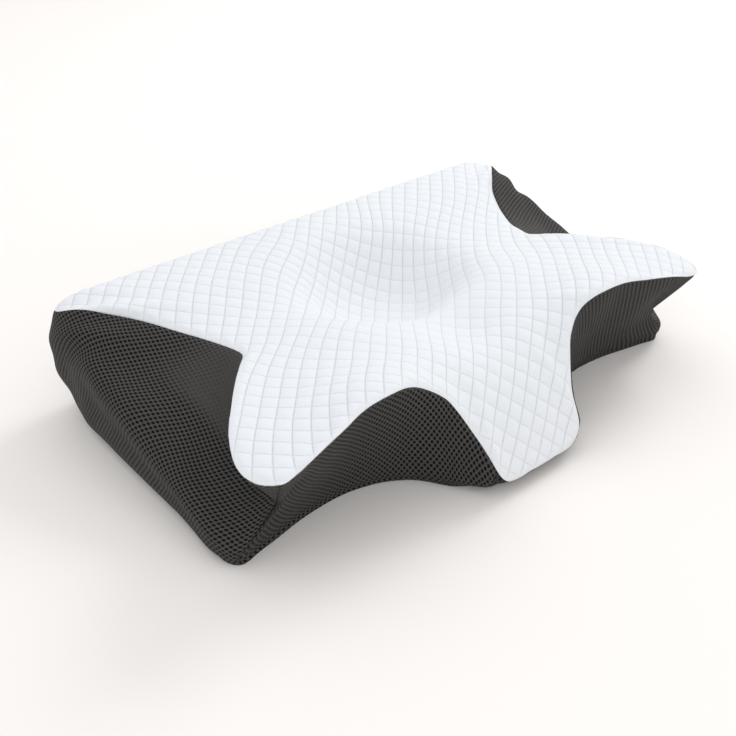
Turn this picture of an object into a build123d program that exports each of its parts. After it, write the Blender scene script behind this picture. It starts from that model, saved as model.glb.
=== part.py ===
from build123d import *
import math
import os

# Contoured neck-support pillow: foam core, knit liner and a zipped cover with a quilted top, mesh
# walls and a bottom panel.
# Millimetres, +Z up, +X across the pillow (its long side), +Y towards the straight back wall.
# The origin is under the middle of the pillow, on the surface that it rests on.

# ---- driving dimensions -------------------------------------------------------------------------
WIDTH = 600.0
DEPTH = 394.0
SIDE_X = WIDTH / 2
BACK_Y = DEPTH / 2
NOSE_Y = -DEPTH / 2

COVER = 3.0            # cover fabric, quilting included
LINER = 0.8            # thin knit sleeve
PLAY = 0.3             # air between one layer and the next

# Heights of the top surface
DECK = 115.0           # shoulders of the pillow, beside the head hollow
BACK_RISE = 14.0       # extra height along the back wall
BACK_ROUND = 16.0      # how far the top falls away at the back wall
HOLLOW_DEPTH = 46.0    # head hollow, below the deck
HOLLOW_Y = 26.0        # its deepest point
HOLLOW_WIDE = 78.0     # its reach to each side, to the back and to the front
HOLLOW_BACK = 80.0
HOLLOW_FRONT = 58.0
HOLLOW_STEEP = 1.7     # how steep its banks are, from 1 for a soft dish
BANK_RISE = 6.0        # raised banks either side of the hollow's front
NECK_DIP = 13.0        # dip in the neck ridge, ahead of the hollow
CREST_RISE = 12.0      # raised crests either side of the neck
WING_RISE = 4.0        # wings, above the deck
LOBE_DROP = 78.0       # front lobe, from the neck ridge down to the nose

FOOT_Z = 10.0          # height of the first level above the sole
LOW_KNEE = 0.6         # where the knee is low, that level's share of its height instead
FOOT_ROUND = 4.0       # how far the wall draws in to the sole, along the front
SIDE_ROUND = 18.0      # how much further it does along the sides and back
NOSE_ROUND = 14.0      # and under the nose
FOOT_LEAN = 0.2        # share of that further drawing in that is taken above the first level
EDGE_LIMIT = 0.64      # cosine that limits how far inner layers draw back from a sharp edge

# The walls, right half, from the back wall's middle round to the nose. Each column is a line up
# the wall: the foot (x, y), a knee on the outer edge of the arm ramp, a fold where the ramp meets
# the wing above it, and the seam with the quilted top. Where there is no ramp, the knee and the
# fold only divide the wall.
BACK_COLUMNS = [
    ((0, BACK_Y), (0, BACK_Y, 40), (0, BACK_Y, 80), (0, BACK_Y, 114)),
    ((128, BACK_Y), (128, BACK_Y, 40), (128, BACK_Y, 80), (128, BACK_Y, 114)),
    ((255, BACK_Y), (255, BACK_Y, 40), (255, BACK_Y, 80), (255, BACK_Y, 114)),
]
SIDE_COLUMNS = [
    ((275, 188), (284, 195, 45), (286, 195, 85), (277, 193, 115)),
    ((288, 172), (299, 178, 50), (300, 178, 90), (290, 177, 118)),
    ((295, 148), (300, 149, 72), (299, 149, 106), (277, 150, 127)),
    ((298, 130), (300, 130, 84), (289, 130, 113), (259, 131, 124)),
    ((298, 112), (298, 111, 94), (272, 111, 114), (241, 113, 120)),
    ((298, 76), (298, 76, 84), (240, 76, 105), (216, 76, 114)),
    ((298, 45), (297, 45, 75), (222, 42, 102), (199, 42, 112)),
    ((298, 22), (297, 21, 65), (208, 23, 103), (194, 23, 113)),
    ((298, 0), (297, -2, 57), (216, 3, 90), (193, 3, 115)),
    ((298, -20), (297, -22, 51), (225, -18, 80), (208, -16, 119)),
    ((298, -40), (297, -42, 45), (232, -42, 71), (235, -47, 119)),
    ((298, -60), (297, -61, 38), (238, -64, 64), (258, -76, 118)),
    ((298, -77), (297, -80, 32), (242, -84, 59), (272, -96, 115)),
    ((297, -92), (296, -95, 26), (244, -100, 56), (281, -115, 112)),
    ((294, -104), (292, -107, 20), (246, -111, 54), (284, -134, 108)),
    ((290, -112), (287, -115, 17), (247, -118, 52), (278, -150, 106)),
]
MITRE_COLUMN = ((284, -117), (279, -119, 16), (247, -121, 51), (267, -159, 106))
FRONT_COLUMNS = [
    ((270, -115), (264, -119, 26), (246, -125, 54), (255, -160, 107)),
    ((250, -111), (244, -118, 36), (238, -134, 74), (242, -159, 111)),
    ((220, -105), (220, -116, 38), (218, -136, 78), (217, -155, 117)),
    ((192, -102), (192, -113, 40), (191, -132, 82), (191, -149, 120)),
    ((166, -102), (166, -112, 42), (166, -128, 84), (166, -143, 123)),
    ((143, -106), (143, -115, 42), (143, -129, 84), (143, -142, 124)),
    ((123, -113), (122, -120, 40), (121, -130, 80), (119, -139, 120)),
    ((108, -122), (106, -126, 38), (104, -133, 76), (101, -139, 111)),
    ((95, -134), (93, -138, 34), (90, -141, 68), (87, -145, 101)),
    ((85, -149), (83, -150, 30), (81, -151, 60), (78, -152, 90)),
    ((77, -163), (75, -163, 24), (71, -164, 46), (67, -166, 65)),
    ((69, -176), (68, -176, 18), (65, -177, 34), (61, -178, 47)),
    ((60, -187), (59, -188, 14), (58, -189, 21), (56, -191, 28)),
]
NOSE_SEAM = [(46, -195, 14), (24, NOSE_Y, 12), (0, NOSE_Y, 12)]

NOSE_STEP = 0.09       # share of the nose's lip between one level and the next, up to the last
SEAM_ROW = 7           # the level that is the seam

HUB = (0, -17)         # the top is laid out in rings round this point
RINGS = [0.1, 0.2, 0.3, 0.4, 0.5, 0.6, 0.7, 0.78, 0.86, 0.93]

# Zipper in the back wall
ZIP_Z = 52.0
ZIP_LENGTH = 440.0
ZIP_SLOT = 26.0        # height of the gap between the upper and lower back mesh
TAPE_THICK = 0.8
TAPE_RECESS = 0.2
COIL_GAP = 0.3
COIL_HEIGHT = 2.6      # each row, along Z
COIL_THICK = 2.0
COIL_ROUND = 0.6
STOP_LENGTH = 3.0
SLIDER_LENGTH = 10.0
SLIDER_WALL = 0.9
SLIDER_ROUND = 0.8
RUNNING = 0.35         # clearance between the slider and the coil rows
BRIDGE_LENGTH = 6.0    # the loop on the slider that holds the pull tab
BRIDGE_OUT = 2.3
BRIDGE_HEIGHT = 2.4
BRIDGE_ROUND = 1.0
PIN_OUT = 0.2          # how far beyond the middle of the bridge its pin hole is
PIN_RADIUS = 0.6
PIN_CLEAR = 0.06
PULL_LENGTH = 26.0
PULL_HEIGHT = 6.0
PULL_THICK = 1.4
PULL_ROUND = 2.5
PULL_HOLE_RADIUS = 1.2
PULL_HOLE_IN = 4.5     # from the tip of the tab to its hole
PULL_GAP = 0.6         # between the bridge and the tab
CHEEK = 1.5
CHEEK_GAP = 0.3
CHEEK_RADIUS = 1.1

# Blank care label on the back wall
LABEL_X = -230.0
LABEL_Z = 70.0
LABEL_WIDTH = 30.0
LABEL_DROP = 20.0
LABEL_THICK = 0.5


# ---- outer surface ------------------------------------------------------------------------------
def ease(t):
    """Smooth step from 0 to 1."""
    t = min(1.0, max(0.0, t))
    return t * t * (3 - 2 * t)


def bump(x, y, at_x, at_y, wide, deep):
    """Round bump of height 1."""
    return math.exp(-((x - at_x) / wide) ** 2 - ((y - at_y) / deep) ** 2)


def top_height(x, y):
    """Height of the pillow's top surface."""
    side = abs(x)
    z = DECK + BACK_RISE * ease((y - 40) / 100)
    z -= BACK_ROUND * ease((y - 165) / 32) ** 2
    along = (y - HOLLOW_Y) / (HOLLOW_BACK if y > HOLLOW_Y else HOLLOW_FRONT)
    z -= HOLLOW_DEPTH * math.exp(-((x / HOLLOW_WIDE) ** 2 + along ** 2) ** HOLLOW_STEEP)
    z += BANK_RISE * bump(side, y, 100, -25, 45, 40)
    z -= NECK_DIP * bump(x, y, 0, -85, 42, 42)
    z += CREST_RISE * bump(side, y, 150, -120, 62, 42)
    z += WING_RISE * ease((side - 195) / 80) * ease((-y - 10) / 110)
    lobe = 1 - ease((side - 55) / 55)
    z -= LOBE_DROP * lobe * ease((-y - 100) / 130)
    return z


def foot_round(y):
    """How far the wall draws in between its first level and the sole."""
    return FOOT_ROUND + SIDE_ROUND * ease((y + 112) / 70) + NOSE_ROUND * ease((-y - 150) / 45)


def wall_column(foot, knee, fold, seam):
    """Points up one column of the wall, from the sole to the seam."""
    x, y = foot
    radius = foot_round(y)
    inward = Vector(HUB[0] - x, HUB[1] - y, 0).normalized()
    sole = Vector(x, y, 0) + inward * radius
    low = Vector(x, y, min(FOOT_Z, knee[2] * LOW_KNEE)) + inward * (radius - FOOT_ROUND) * FOOT_LEAN
    knee, fold, seam = Vector(*knee), Vector(*fold), Vector(*seam)
    return [sole, low, (low + knee) / 2, knee, (knee + fold) / 2, fold, (fold + seam) / 2, seam]


def nose_column(seam):
    """The quilted top comes down to the sole here, so the whole column lies at the bottom edge."""
    x, y, z = seam
    sole = Vector(x, y + foot_round(y), 0)
    top = Vector(x, y, z)
    low = [sole + (top - sole) * (i * NOSE_STEP) for i in range(SEAM_ROW)]
    return low + [top]


def mirrored(column):
    """The same column on the left half."""
    return [Vector(-p.X, p.Y, p.Z) for p in column]


def whole_loop():
    """Every column, clockwise seen from above, starting at the back wall's middle."""
    half = [wall_column(*c) for c in BACK_COLUMNS + SIDE_COLUMNS + [MITRE_COLUMN] + FRONT_COLUMNS]
    half += [nose_column(s) for s in NOSE_SEAM]
    return half + [mirrored(c) for c in half[-2:0:-1]]


def ring_points(columns, share):
    """One ring of the top surface, a share of the way from the hub to the seam."""
    ring = []
    for column in columns:
        seam = column[-1]
        x = HUB[0] + (seam.X - HUB[0]) * share
        y = HUB[1] + (seam.Y - HUB[1]) * share
        rim = top_height(seam.X, seam.Y) - seam.Z
        ring.append(Vector(x, y, top_height(x, y) - rim * share ** 6))
    return ring


def outer_rows(columns):
    """Rows of points from the sole, up the wall, and in over the top towards the hub."""
    rows = [[column[level] for column in columns] for level in range(len(columns[0]))]
    for share in reversed(RINGS):
        rows.append(ring_points(columns, share))
    return rows


def outward(rows):
    """Outward direction at every point. At the seam it is longer, so that a layer drawn in along it
    keeps its distance from the facets on both sides."""
    count = len(rows[0])
    normals = [[[] for _ in range(count)] for _ in rows]
    for r in range(len(rows) - 1):
        for c in range(count):
            d = (c + 1) % count
            corners = [(r, c), (r, d), (r + 1, d), (r + 1, c)]
            a, b, e, f = (rows[i][j] for i, j in corners)
            normal = (f - b).cross(e - a)
            for i, j in corners:
                normals[i][j].append(normal)
    directions = [[sum(found, Vector(0, 0, 0)).normalized() for found in row] for row in normals]
    directions[SEAM_ROW] = [mitred(found) for found in normals[SEAM_ROW]]
    return directions


def mitred(normals):
    """Middle of the directions of some normals, lengthened for the angle between them."""
    units = [n.normalized() for n in normals]
    middle = sum(units, Vector(0, 0, 0)).normalized()
    return middle / max(EDGE_LIMIT, min(middle.dot(n) for n in units))


def drawn_in(rows, depth):
    """The same points moved in by depth, with the sole row lifted to that height."""
    if depth == 0:
        return rows
    directions = outward(rows)
    moved = [[p - n * depth for p, n in zip(row, ns)] for row, ns in zip(rows, directions)]
    for c, n in enumerate(directions[0]):
        level = Vector(n.X, n.Y, 0).normalized() * depth
        sole = rows[0][c] - level
        moved[0][c] = Vector(sole.X, sole.Y, depth)
    return moved


# ---- facets and solids --------------------------------------------------------------------------
def facet(points):
    """Plane face through 3-D points."""
    return Face(Wire.make_polygon(points, close=True))


def strip(a, b, columns):
    """Two facets for each step along a pair of rows, mirrored on the left half."""
    faces = []
    for c in columns:
        d = (c + 1) % len(a)
        if c < len(a) // 2:
            faces.append(facet([a[c], a[d], b[d]]))
            faces.append(facet([a[c], b[d], b[c]]))
        else:
            faces.append(facet([a[c], a[d], b[c]]))
            faces.append(facet([a[d], b[d], b[c]]))
    return faces


def end_cap(outer, inner, low, high, column):
    """Closes a panel at one of its upright edges."""
    faces = []
    for r in range(low, high):
        a, b = outer[r][column], outer[r + 1][column]
        e, f = inner[r + 1][column], inner[r][column]
        faces.append(facet([a, b, e]))
        faces.append(facet([a, e, f]))
    return faces


def solid_of(faces):
    """Closed solid from facets that share their edges."""
    return Solid(Shell(faces))


def wall_panel(outer, inner, first, last):
    """Piece of the wall between two columns, from the sole to the seam."""
    columns = range(first, last)
    faces = []
    for r in range(SEAM_ROW):
        faces += strip(outer[r], outer[r + 1], columns)
        faces += strip(inner[r], inner[r + 1], columns)
    for r in (0, SEAM_ROW):
        faces += strip(outer[r], inner[r], columns)
    for column in (first, last):
        faces += end_cap(outer, inner, 0, SEAM_ROW, column % len(outer[0]))
    return solid_of(faces)


def lid(rows, depth):
    """Facets over the top of one layer, from the seam to the hub."""
    every = range(len(rows[0]))
    faces = []
    for r in range(SEAM_ROW, len(rows) - 1):
        faces += strip(rows[r], rows[r + 1], every)
    hub = Vector(*HUB, top_height(*HUB) - depth)
    for c in every:
        faces.append(facet([rows[-1][c], rows[-1][(c + 1) % len(rows[0])], hub]))
    return faces


def top_panel(outer, inner, depth, thickness):
    """Layer of the top, edged at the seam."""
    faces = lid(outer, depth) + lid(inner, depth + thickness)
    faces += strip(outer[SEAM_ROW], inner[SEAM_ROW], range(len(outer[0])))
    return solid_of(faces)


def cup(outer, inner):
    """Walls and floor of a layer in one piece, open at the seam."""
    every = range(len(outer[0]))
    faces = [facet(outer[0]), facet(inner[0])]
    for r in range(SEAM_ROW):
        faces += strip(outer[r], outer[r + 1], every)
        faces += strip(inner[r], inner[r + 1], every)
    faces += strip(outer[SEAM_ROW], inner[SEAM_ROW], every)
    return solid_of(faces)


def floor_panel(outer, inner, nose):
    """Bottom of the cover, turned up round the nose to meet the quilted top."""
    every = range(len(outer[0]))
    faces = [facet(outer[0]), facet(inner[0])]
    faces += strip(outer[0], inner[0], [c for c in every if c not in nose])
    for r in range(SEAM_ROW):
        faces += strip(outer[r], outer[r + 1], nose)
        faces += strip(inner[r], inner[r + 1], nose)
    faces += strip(outer[SEAM_ROW], inner[SEAM_ROW], nose)
    for column in (nose.start, nose.stop):
        faces += end_cap(outer, inner, 0, SEAM_ROW, column)
    return solid_of(faces)


def whole_block(rows, depth):
    """Everything inside one layer."""
    faces = [facet(rows[0])] + lid(rows, depth)
    for r in range(SEAM_ROW):
        faces += strip(rows[r], rows[r + 1], range(len(rows[0])))
    return solid_of(faces)


def slab(x, y, z):
    """Box from three (low, high) pairs, given in either order."""
    low = [min(pair) for pair in (x, y, z)]
    size = [abs(pair[1] - pair[0]) for pair in (x, y, z)]
    return Pos(*low) * Box(*size, align=(Align.MIN, Align.MIN, Align.MIN))


# ---- pieces -------------------------------------------------------------------------------------
COLUMNS = whole_loop()
OUTER = outer_rows(COLUMNS)
BACK_SEAM = len(BACK_COLUMNS) - 1
MITRE = len(BACK_COLUMNS) + len(SIDE_COLUMNS)
NOSE = MITRE + len(FRONT_COLUMNS)
TOTAL = len(COLUMNS)


def cover_pieces():
    """Quilted top, mesh walls and bottom."""
    inner = drawn_in(OUTER, COVER)
    back = wall_panel(OUTER, inner, 0, BACK_SEAM)
    back += wall_panel(OUTER, inner, TOTAL - BACK_SEAM, TOTAL)
    back -= slab((-ZIP_LENGTH / 2, ZIP_LENGTH / 2), (BACK_Y - 10, BACK_Y + 10),
                 (ZIP_Z - ZIP_SLOT / 2, ZIP_Z + ZIP_SLOT / 2))
    below_zip = slab((-WIDTH, WIDTH), (0, DEPTH), (-10, ZIP_Z))
    return {
        "quilted_top_panel": top_panel(OUTER, inner, 0, COVER),
        "right_side_mesh": wall_panel(OUTER, inner, BACK_SEAM, MITRE),
        "left_side_mesh": wall_panel(OUTER, inner, TOTAL - MITRE, TOTAL - BACK_SEAM),
        "front_right_mesh": wall_panel(OUTER, inner, MITRE, NOSE),
        "front_left_mesh": wall_panel(OUTER, inner, TOTAL - NOSE, TOTAL - MITRE),
        "back_mesh_upper": back - below_zip,
        "back_mesh_lower": back & below_zip,
        "bottom_panel": floor_panel(OUTER, inner, range(NOSE, TOTAL - NOSE)),
    }


def filling_pieces():
    """Knit liner and foam core."""
    outside = COVER + PLAY
    inside = outside + LINER
    foam = inside + PLAY
    liner_outer = drawn_in(OUTER, outside)
    liner_inner = drawn_in(OUTER, inside)
    return {
        "liner_top": top_panel(liner_outer, liner_inner, outside, LINER),
        "liner_body": cup(liner_outer, liner_inner),
        "foam_core": whole_block(drawn_in(OUTER, foam), foam),
    }


TAPE_Y = BACK_Y - COVER + TAPE_RECESS
COIL_Y = TAPE_Y + TAPE_THICK
COIL_FACE_Y = COIL_Y + COIL_THICK
COIL_END = ZIP_LENGTH / 2 - STOP_LENGTH - PLAY
COIL_REACH = COIL_GAP / 2 + COIL_HEIGHT


def rounded(shape, along, face, radius):
    """Rounds the edges that run along one axis on the far side of another."""
    return fillet(shape.edges().filter_by(along).group_by(face)[-1], radius)


def zipper_strips():
    """Tapes, coil rows and end stops."""
    pieces = {}
    tape_end = ZIP_LENGTH / 2 - PLAY
    for side, name in ((1, "upper"), (-1, "lower")):
        near = ZIP_Z + side * COIL_GAP / 2
        tape_far = ZIP_Z + side * (ZIP_SLOT / 2 - PLAY)
        pieces[f"zipper_tape_{name}"] = slab((-tape_end, tape_end), (TAPE_Y, COIL_Y), (near, tape_far))
        row = slab((-COIL_END, COIL_END), (COIL_Y, COIL_FACE_Y), (near, ZIP_Z + side * COIL_REACH))
        pieces[f"zipper_coil_{name}"] = rounded(row, Axis.X, Axis.Y, COIL_ROUND)
    for side, name in ((1, "top"), (-1, "bottom")):
        stop = slab((side * (COIL_END + PLAY / 2), side * tape_end), (COIL_Y, COIL_FACE_Y + PLAY),
                    (ZIP_Z - COIL_REACH, ZIP_Z + COIL_REACH))
        pieces[f"zipper_{name}_stop"] = rounded(stop, Axis.X, Axis.Y, COIL_ROUND)
    return pieces


SLIDER_X = COIL_END - PLAY - SLIDER_LENGTH / 2
SLIDER_TOP_Y = COIL_FACE_Y + RUNNING + SLIDER_WALL
PIVOT_Y = SLIDER_TOP_Y + BRIDGE_OUT / 2 + PIN_OUT


def zipper_slider():
    """Channel over the coil rows, with a bridge that the pull tab's pin turns in."""
    room = COIL_REACH + RUNNING
    ends = (SLIDER_X - SLIDER_LENGTH / 2, SLIDER_X + SLIDER_LENGTH / 2)
    tall = room + SLIDER_WALL
    body = slab(ends, (COIL_Y + RUNNING, SLIDER_TOP_Y), (ZIP_Z - tall, ZIP_Z + tall))
    body = rounded(body, Axis.X, Axis.Y, SLIDER_ROUND)
    body -= slab((ends[0] - 1, ends[1] + 1), (COIL_Y, COIL_FACE_Y + RUNNING), (ZIP_Z - room, ZIP_Z + room))
    bridge = slab((SLIDER_X - BRIDGE_LENGTH / 2, SLIDER_X + BRIDGE_LENGTH / 2),
                  (SLIDER_TOP_Y, SLIDER_TOP_Y + BRIDGE_OUT),
                  (ZIP_Z - BRIDGE_HEIGHT / 2, ZIP_Z + BRIDGE_HEIGHT / 2))
    body += rounded(bridge, Axis.Z, Axis.Y, BRIDGE_ROUND)
    return body - Pos(SLIDER_X, PIVOT_Y, ZIP_Z) * Cylinder(PIN_RADIUS + PIN_CLEAR, 20)


def zipper_pull():
    """Flat tab with two cheeks and a pin, lying back along the closed zipper."""
    y = (PIVOT_Y - PULL_THICK / 2, PIVOT_Y + PULL_THICK / 2)
    root_x = SLIDER_X - BRIDGE_LENGTH / 2 - PULL_GAP
    tip_x = SLIDER_X - PULL_LENGTH
    tab = slab((tip_x, root_x), y, (ZIP_Z - PULL_HEIGHT / 2, ZIP_Z + PULL_HEIGHT / 2))
    tab = fillet(tab.edges().filter_by(Axis.Y).group_by(Axis.X)[0], PULL_ROUND)
    near = BRIDGE_HEIGHT / 2 + CHEEK_GAP
    for side in (1, -1):
        low, high = ZIP_Z + side * near, ZIP_Z + side * (near + CHEEK)
        tab += slab((root_x - 1, SLIDER_X), y, (low, high))
        tab += Pos(SLIDER_X, PIVOT_Y, (low + high) / 2) * Cylinder(CHEEK_RADIUS, CHEEK)
    tab += Pos(SLIDER_X, PIVOT_Y, ZIP_Z) * Cylinder(PIN_RADIUS, 2 * near + 0.5)
    hole = Pos(tip_x + PULL_HOLE_IN, PIVOT_Y, ZIP_Z) * Rot(90, 0, 0) * Cylinder(PULL_HOLE_RADIUS, 10)
    return tab - hole


def care_label():
    """Blank ribbon label, flat on the back wall."""
    return slab((LABEL_X, LABEL_X + LABEL_WIDTH), (BACK_Y, BACK_Y + LABEL_THICK),
                (LABEL_Z, LABEL_Z + LABEL_DROP))


pieces = {}
pieces.update(cover_pieces())
pieces.update(filling_pieces())
pieces.update(zipper_strips())
pieces["zipper_slider"] = zipper_slider()
pieces["zipper_pull"] = zipper_pull()
pieces["care_label"] = care_label()

os.makedirs("parts", exist_ok=True)
for name, shape in pieces.items():
    export_step(shape, f"parts/{name}.step")
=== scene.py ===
import math

import bpy
import numpy as np
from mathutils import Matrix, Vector
from mathutils.geometry import delaunay_2d_cdt
from mathutils.kdtree import KDTree


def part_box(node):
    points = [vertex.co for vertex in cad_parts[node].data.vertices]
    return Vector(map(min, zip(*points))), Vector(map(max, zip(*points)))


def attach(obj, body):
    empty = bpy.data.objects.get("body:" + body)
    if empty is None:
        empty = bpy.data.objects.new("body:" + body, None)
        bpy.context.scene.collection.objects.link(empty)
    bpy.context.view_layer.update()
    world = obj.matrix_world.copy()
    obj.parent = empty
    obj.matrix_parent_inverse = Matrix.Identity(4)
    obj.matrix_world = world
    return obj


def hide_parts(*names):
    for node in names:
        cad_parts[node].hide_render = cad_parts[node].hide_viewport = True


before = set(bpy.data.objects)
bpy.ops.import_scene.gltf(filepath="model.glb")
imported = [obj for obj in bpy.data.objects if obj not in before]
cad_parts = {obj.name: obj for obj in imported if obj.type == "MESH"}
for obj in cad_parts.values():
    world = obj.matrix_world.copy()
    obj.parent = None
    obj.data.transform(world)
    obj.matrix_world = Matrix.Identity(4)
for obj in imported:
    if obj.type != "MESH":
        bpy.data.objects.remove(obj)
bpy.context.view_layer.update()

# Contoured neck pillow: quilted top, air-mesh walls, zip, liner and foam. Lengths below are in
# millimetres, in the CAD's frame, and become metres when an object is made. Modifiers, looks and
# the sheet sizes listed with the panels take metres.
MM = 0.001

# ---- the cover's shape, as in the CAD ---------------------------------------------------------------
BACK_Y = 197.0
NOSE_Y = -197.0
HUB = np.array([0.0, -17.0])
FOOT_Z = 10.0          # first level above the sole
LOW_KNEE = 0.6         # where the knee is low, that level's share of its height instead
FOOT_ROUND = 4.0       # how far the wall draws in to the sole: along the front, and further
SIDE_ROUND = 18.0      # along the sides and back, and under the nose
NOSE_ROUND = 14.0
FOOT_LEAN = 0.2        # share of that further drawing in that is taken above the first level
LEVELS = 8             # points up each column, the last of them on the seam
DECK = 115.0           # shoulders of the pillow

# Columns up the wall, right half: foot (x, y), knee, fold, seam.
BACK_X = (0, 50, 100, 150, 200, 240, 255)
BACK_COLUMNS = [((x, BACK_Y), (x, BACK_Y, 40), (x, BACK_Y, 80), (x, BACK_Y, 114)) for x in BACK_X]
SIDE_COLUMNS = [
    ((275, 188), (284, 195, 45), (286, 195, 85), (277, 193, 115)),
    ((288, 172), (299, 178, 50), (300, 178, 90), (290, 177, 118)),
    ((295, 148), (300, 149, 72), (299, 149, 106), (277, 150, 127)),
    ((298, 130), (300, 130, 84), (289, 130, 113), (259, 131, 124)),
    ((298, 112), (298, 111, 94), (272, 111, 114), (241, 113, 120)),
    ((298, 76), (298, 76, 84), (240, 76, 105), (216, 76, 114)),
    ((298, 45), (297, 45, 75), (222, 42, 102), (199, 42, 112)),
    ((298, 22), (297, 21, 65), (208, 23, 103), (194, 23, 113)),
    ((298, 0), (297, -2, 57), (216, 3, 90), (193, 3, 115)),
    ((298, -20), (297, -22, 51), (225, -18, 80), (208, -16, 119)),
    ((298, -40), (297, -42, 45), (232, -42, 71), (235, -47, 119)),
    ((298, -60), (297, -61, 38), (238, -64, 64), (258, -76, 118)),
    ((298, -77), (297, -80, 32), (242, -84, 59), (272, -96, 115)),
    ((297, -92), (296, -95, 26), (244, -100, 56), (281, -115, 112)),
    ((294, -104), (292, -107, 20), (246, -111, 54), (284, -134, 108)),
    ((290, -112), (287, -115, 17), (247, -118, 52), (278, -150, 106)),
]
MITRE_COLUMN = ((284, -117), (279, -119, 16), (247, -121, 51), (267, -159, 106))
FRONT_COLUMNS = [
    ((270, -115), (264, -119, 26), (246, -125, 54), (255, -160, 107)),
    ((250, -111), (244, -118, 36), (238, -134, 74), (242, -159, 111)),
    ((220, -105), (220, -116, 38), (218, -136, 78), (217, -155, 117)),
    ((192, -102), (192, -113, 40), (191, -132, 82), (191, -149, 120)),
    ((166, -102), (166, -112, 42), (166, -128, 84), (166, -143, 123)),
    ((143, -106), (143, -115, 42), (143, -129, 84), (143, -142, 124)),
    ((123, -113), (122, -120, 40), (121, -130, 80), (119, -139, 120)),
    ((108, -122), (106, -126, 38), (104, -133, 76), (101, -139, 111)),
    ((95, -134), (93, -138, 34), (90, -141, 68), (87, -145, 101)),
    ((85, -149), (83, -150, 30), (81, -151, 60), (78, -152, 90)),
    ((77, -163), (75, -163, 24), (71, -164, 46), (67, -166, 65)),
    ((69, -176), (68, -176, 18), (65, -177, 34), (61, -178, 47)),
    ((60, -187), (59, -188, 14), (58, -189, 21), (56, -191, 28)),
]
NOSE_SEAM = [(46, -195, 14), (24, NOSE_Y, 12), (0, NOSE_Y, 12)]
NOSE_STEP = 0.09
BACK_SEAM = len(BACK_COLUMNS) - 1
MITRE = len(BACK_COLUMNS) + len(SIDE_COLUMNS)
NOSE = MITRE + len(FRONT_COLUMNS)


def ease(t):
    """Smooth step from 0 to 1."""
    t = np.clip(t, 0.0, 1.0)
    return t * t * (3 - 2 * t)


def bump(x, y, at_x, at_y, wide, deep):
    """Round bump of height 1."""
    return np.exp(-((x - at_x) / wide) ** 2 - ((y - at_y) / deep) ** 2)


def top_height(x, y):
    """Height of the pillow's top, before it is fitted to the seam."""
    side = np.abs(x)
    z = DECK + 14.0 * ease((y - 40) / 100) - 16.0 * ease((y - 165) / 32) ** 2
    along = (y - 26) / np.where(y > 26, 80, 58)
    z = z - 46.0 * np.exp(-((x / 78) ** 2 + along**2) ** 1.7) + 6.0 * bump(side, y, 100, -25, 45, 40)
    z = z - 13.0 * bump(x, y, 0, -85, 42, 42) + 12.0 * bump(side, y, 150, -120, 62, 42)
    z = z + 4.0 * ease((side - 195) / 80) * ease((-y - 10) / 110)
    return z - 78.0 * (1 - ease((side - 55) / 55)) * ease((-y - 100) / 130)


def unit(v):
    """Vectors brought to length 1."""
    return v / np.maximum(np.linalg.norm(v, axis=-1, keepdims=True), 1e-9)


def foot_round(y):
    """How far the wall draws in between its first level and the sole."""
    return FOOT_ROUND + SIDE_ROUND * ease((y + 112) / 70) + NOSE_ROUND * ease((-y - 150) / 45)


def wall_column(foot, knee, fold, seam):
    """Points up one column of the wall."""
    foot = np.array(foot, float)
    radius = foot_round(foot[1])
    inward = unit(HUB - foot)
    sole = np.append(foot + inward * radius, 0)
    low = np.append(foot + inward * (radius - FOOT_ROUND) * FOOT_LEAN, min(FOOT_Z, knee[2] * LOW_KNEE))
    knee, fold, seam = (np.array(p, float) for p in (knee, fold, seam))
    return [sole, low, (low + knee) / 2, knee, (knee + fold) / 2, fold, (fold + seam) / 2, seam]


def nose_column(seam):
    """At the nose the wall is only the lip of the bottom."""
    top = np.array(seam, float)
    sole = np.array([top[0], top[1] + foot_round(top[1]), 0])
    return [sole + (top - sole) * i * NOSE_STEP for i in range(LEVELS - 1)] + [top]


def whole_loop():
    """All columns, clockwise seen from above, from the middle of the back wall."""
    half = [wall_column(*c) for c in BACK_COLUMNS + SIDE_COLUMNS + [MITRE_COLUMN] + FRONT_COLUMNS]
    half += [nose_column(s) for s in NOSE_SEAM]
    half = np.array(half)
    left = half[-2:0:-1] * np.array([-1, 1, 1])
    return np.concatenate([half, left])


LOOP = whole_loop()
COLUMNS = len(LOOP)
STEPS = np.linalg.norm(np.roll(LOOP, -1, 0) - LOOP, axis=2).mean(1)
KNOTS = np.concatenate([[0], np.cumsum(STEPS)])
ROUND = KNOTS[-1]


def loop_slopes():
    """Slopes of the smooth closed curves through the columns."""
    h, before = STEPS, np.roll(STEPS, 1)
    rise = (np.roll(LOOP, -1, 0) - LOOP) / h[:, None, None]
    rise_before = np.roll(rise, 1, 0)
    matrix = np.zeros((COLUMNS, COLUMNS))
    for i in range(COLUMNS):
        matrix[i, i - 1] = h[i]
        matrix[i, i] = 2 * (h[i] + before[i])
        matrix[i, (i + 1) % COLUMNS] = before[i]
    right = 3 * (h[:, None, None] * rise_before + before[:, None, None] * rise)
    return np.linalg.solve(matrix, right.reshape(COLUMNS, -1)).reshape(LOOP.shape)


SLOPES = loop_slopes()


def levels_at(s):
    """All levels of the wall at distances s round the pillow."""
    s = np.asarray(s, float) % ROUND
    i = np.clip(np.searchsorted(KNOTS, s, side="right") - 1, 0, COLUMNS - 1)
    h = STEPS[i][:, None, None]
    t = ((s - KNOTS[i]) / STEPS[i])[:, None, None]
    a, b = LOOP[i], LOOP[(i + 1) % COLUMNS]
    ma, mb = SLOPES[i] * h, SLOPES[(i + 1) % COLUMNS] * h
    return ((2 * t**3 - 3 * t**2 + 1) * a + (t**3 - 2 * t**2 + t) * ma
            + (3 * t**2 - 2 * t**3) * b + (t**3 - t**2) * mb)


FOLD = 0.85            # 1 would be a knife edge
FOLD_LEVEL = 5
FINE = 16              # steps between one level and the next


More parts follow.
